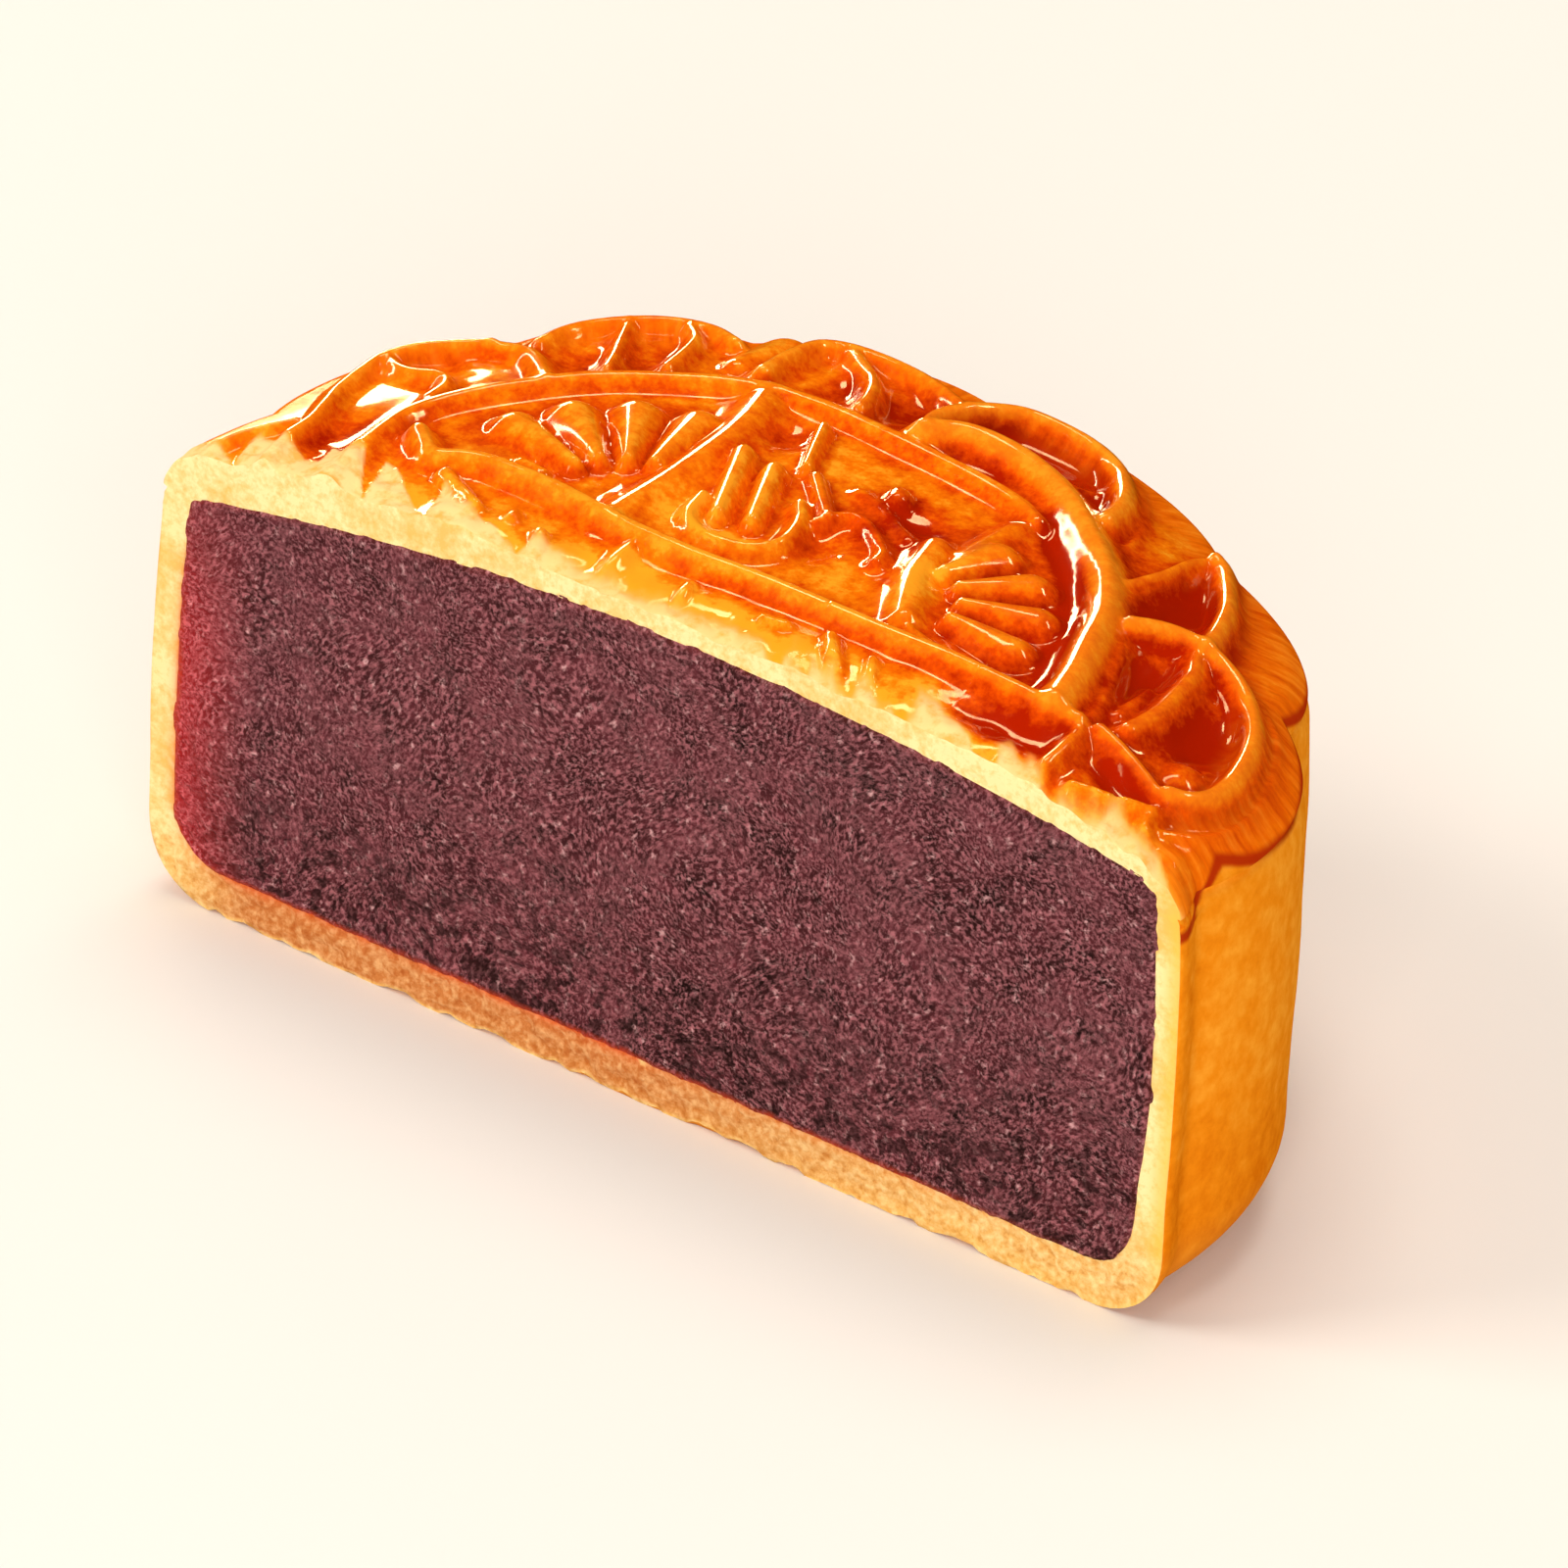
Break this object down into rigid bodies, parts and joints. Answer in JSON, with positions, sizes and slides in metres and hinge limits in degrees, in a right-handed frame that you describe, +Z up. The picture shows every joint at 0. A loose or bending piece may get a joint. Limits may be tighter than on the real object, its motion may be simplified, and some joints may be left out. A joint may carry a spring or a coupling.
{
  "type": "half mooncake",
  "caption": "Half of a round lobed mooncake: baked crust with a moulded, glazed top, cut open to show a block of dark sweet bean paste.",
  "frame": {"origin": "bottom centre of the half's box, on the surface that it stands on", "axes": "+Z up, X along the cut, the flat cut face looks towards -Y"},
  "size_m": [0.0794, 0.041, 0.0368],
  "materials": {
    "crust": "baked golden pastry, egg-glazed and glossy on the moulded top, matt on the wall, pale crumb at the cut",
    "filling": "dense sweet bean paste, knife-cut, fine grain with a moist glint"
  },
  "bodies": {
    "root": {"crust": "crust", "filling": "filling"}
  },
  "joints": []
}
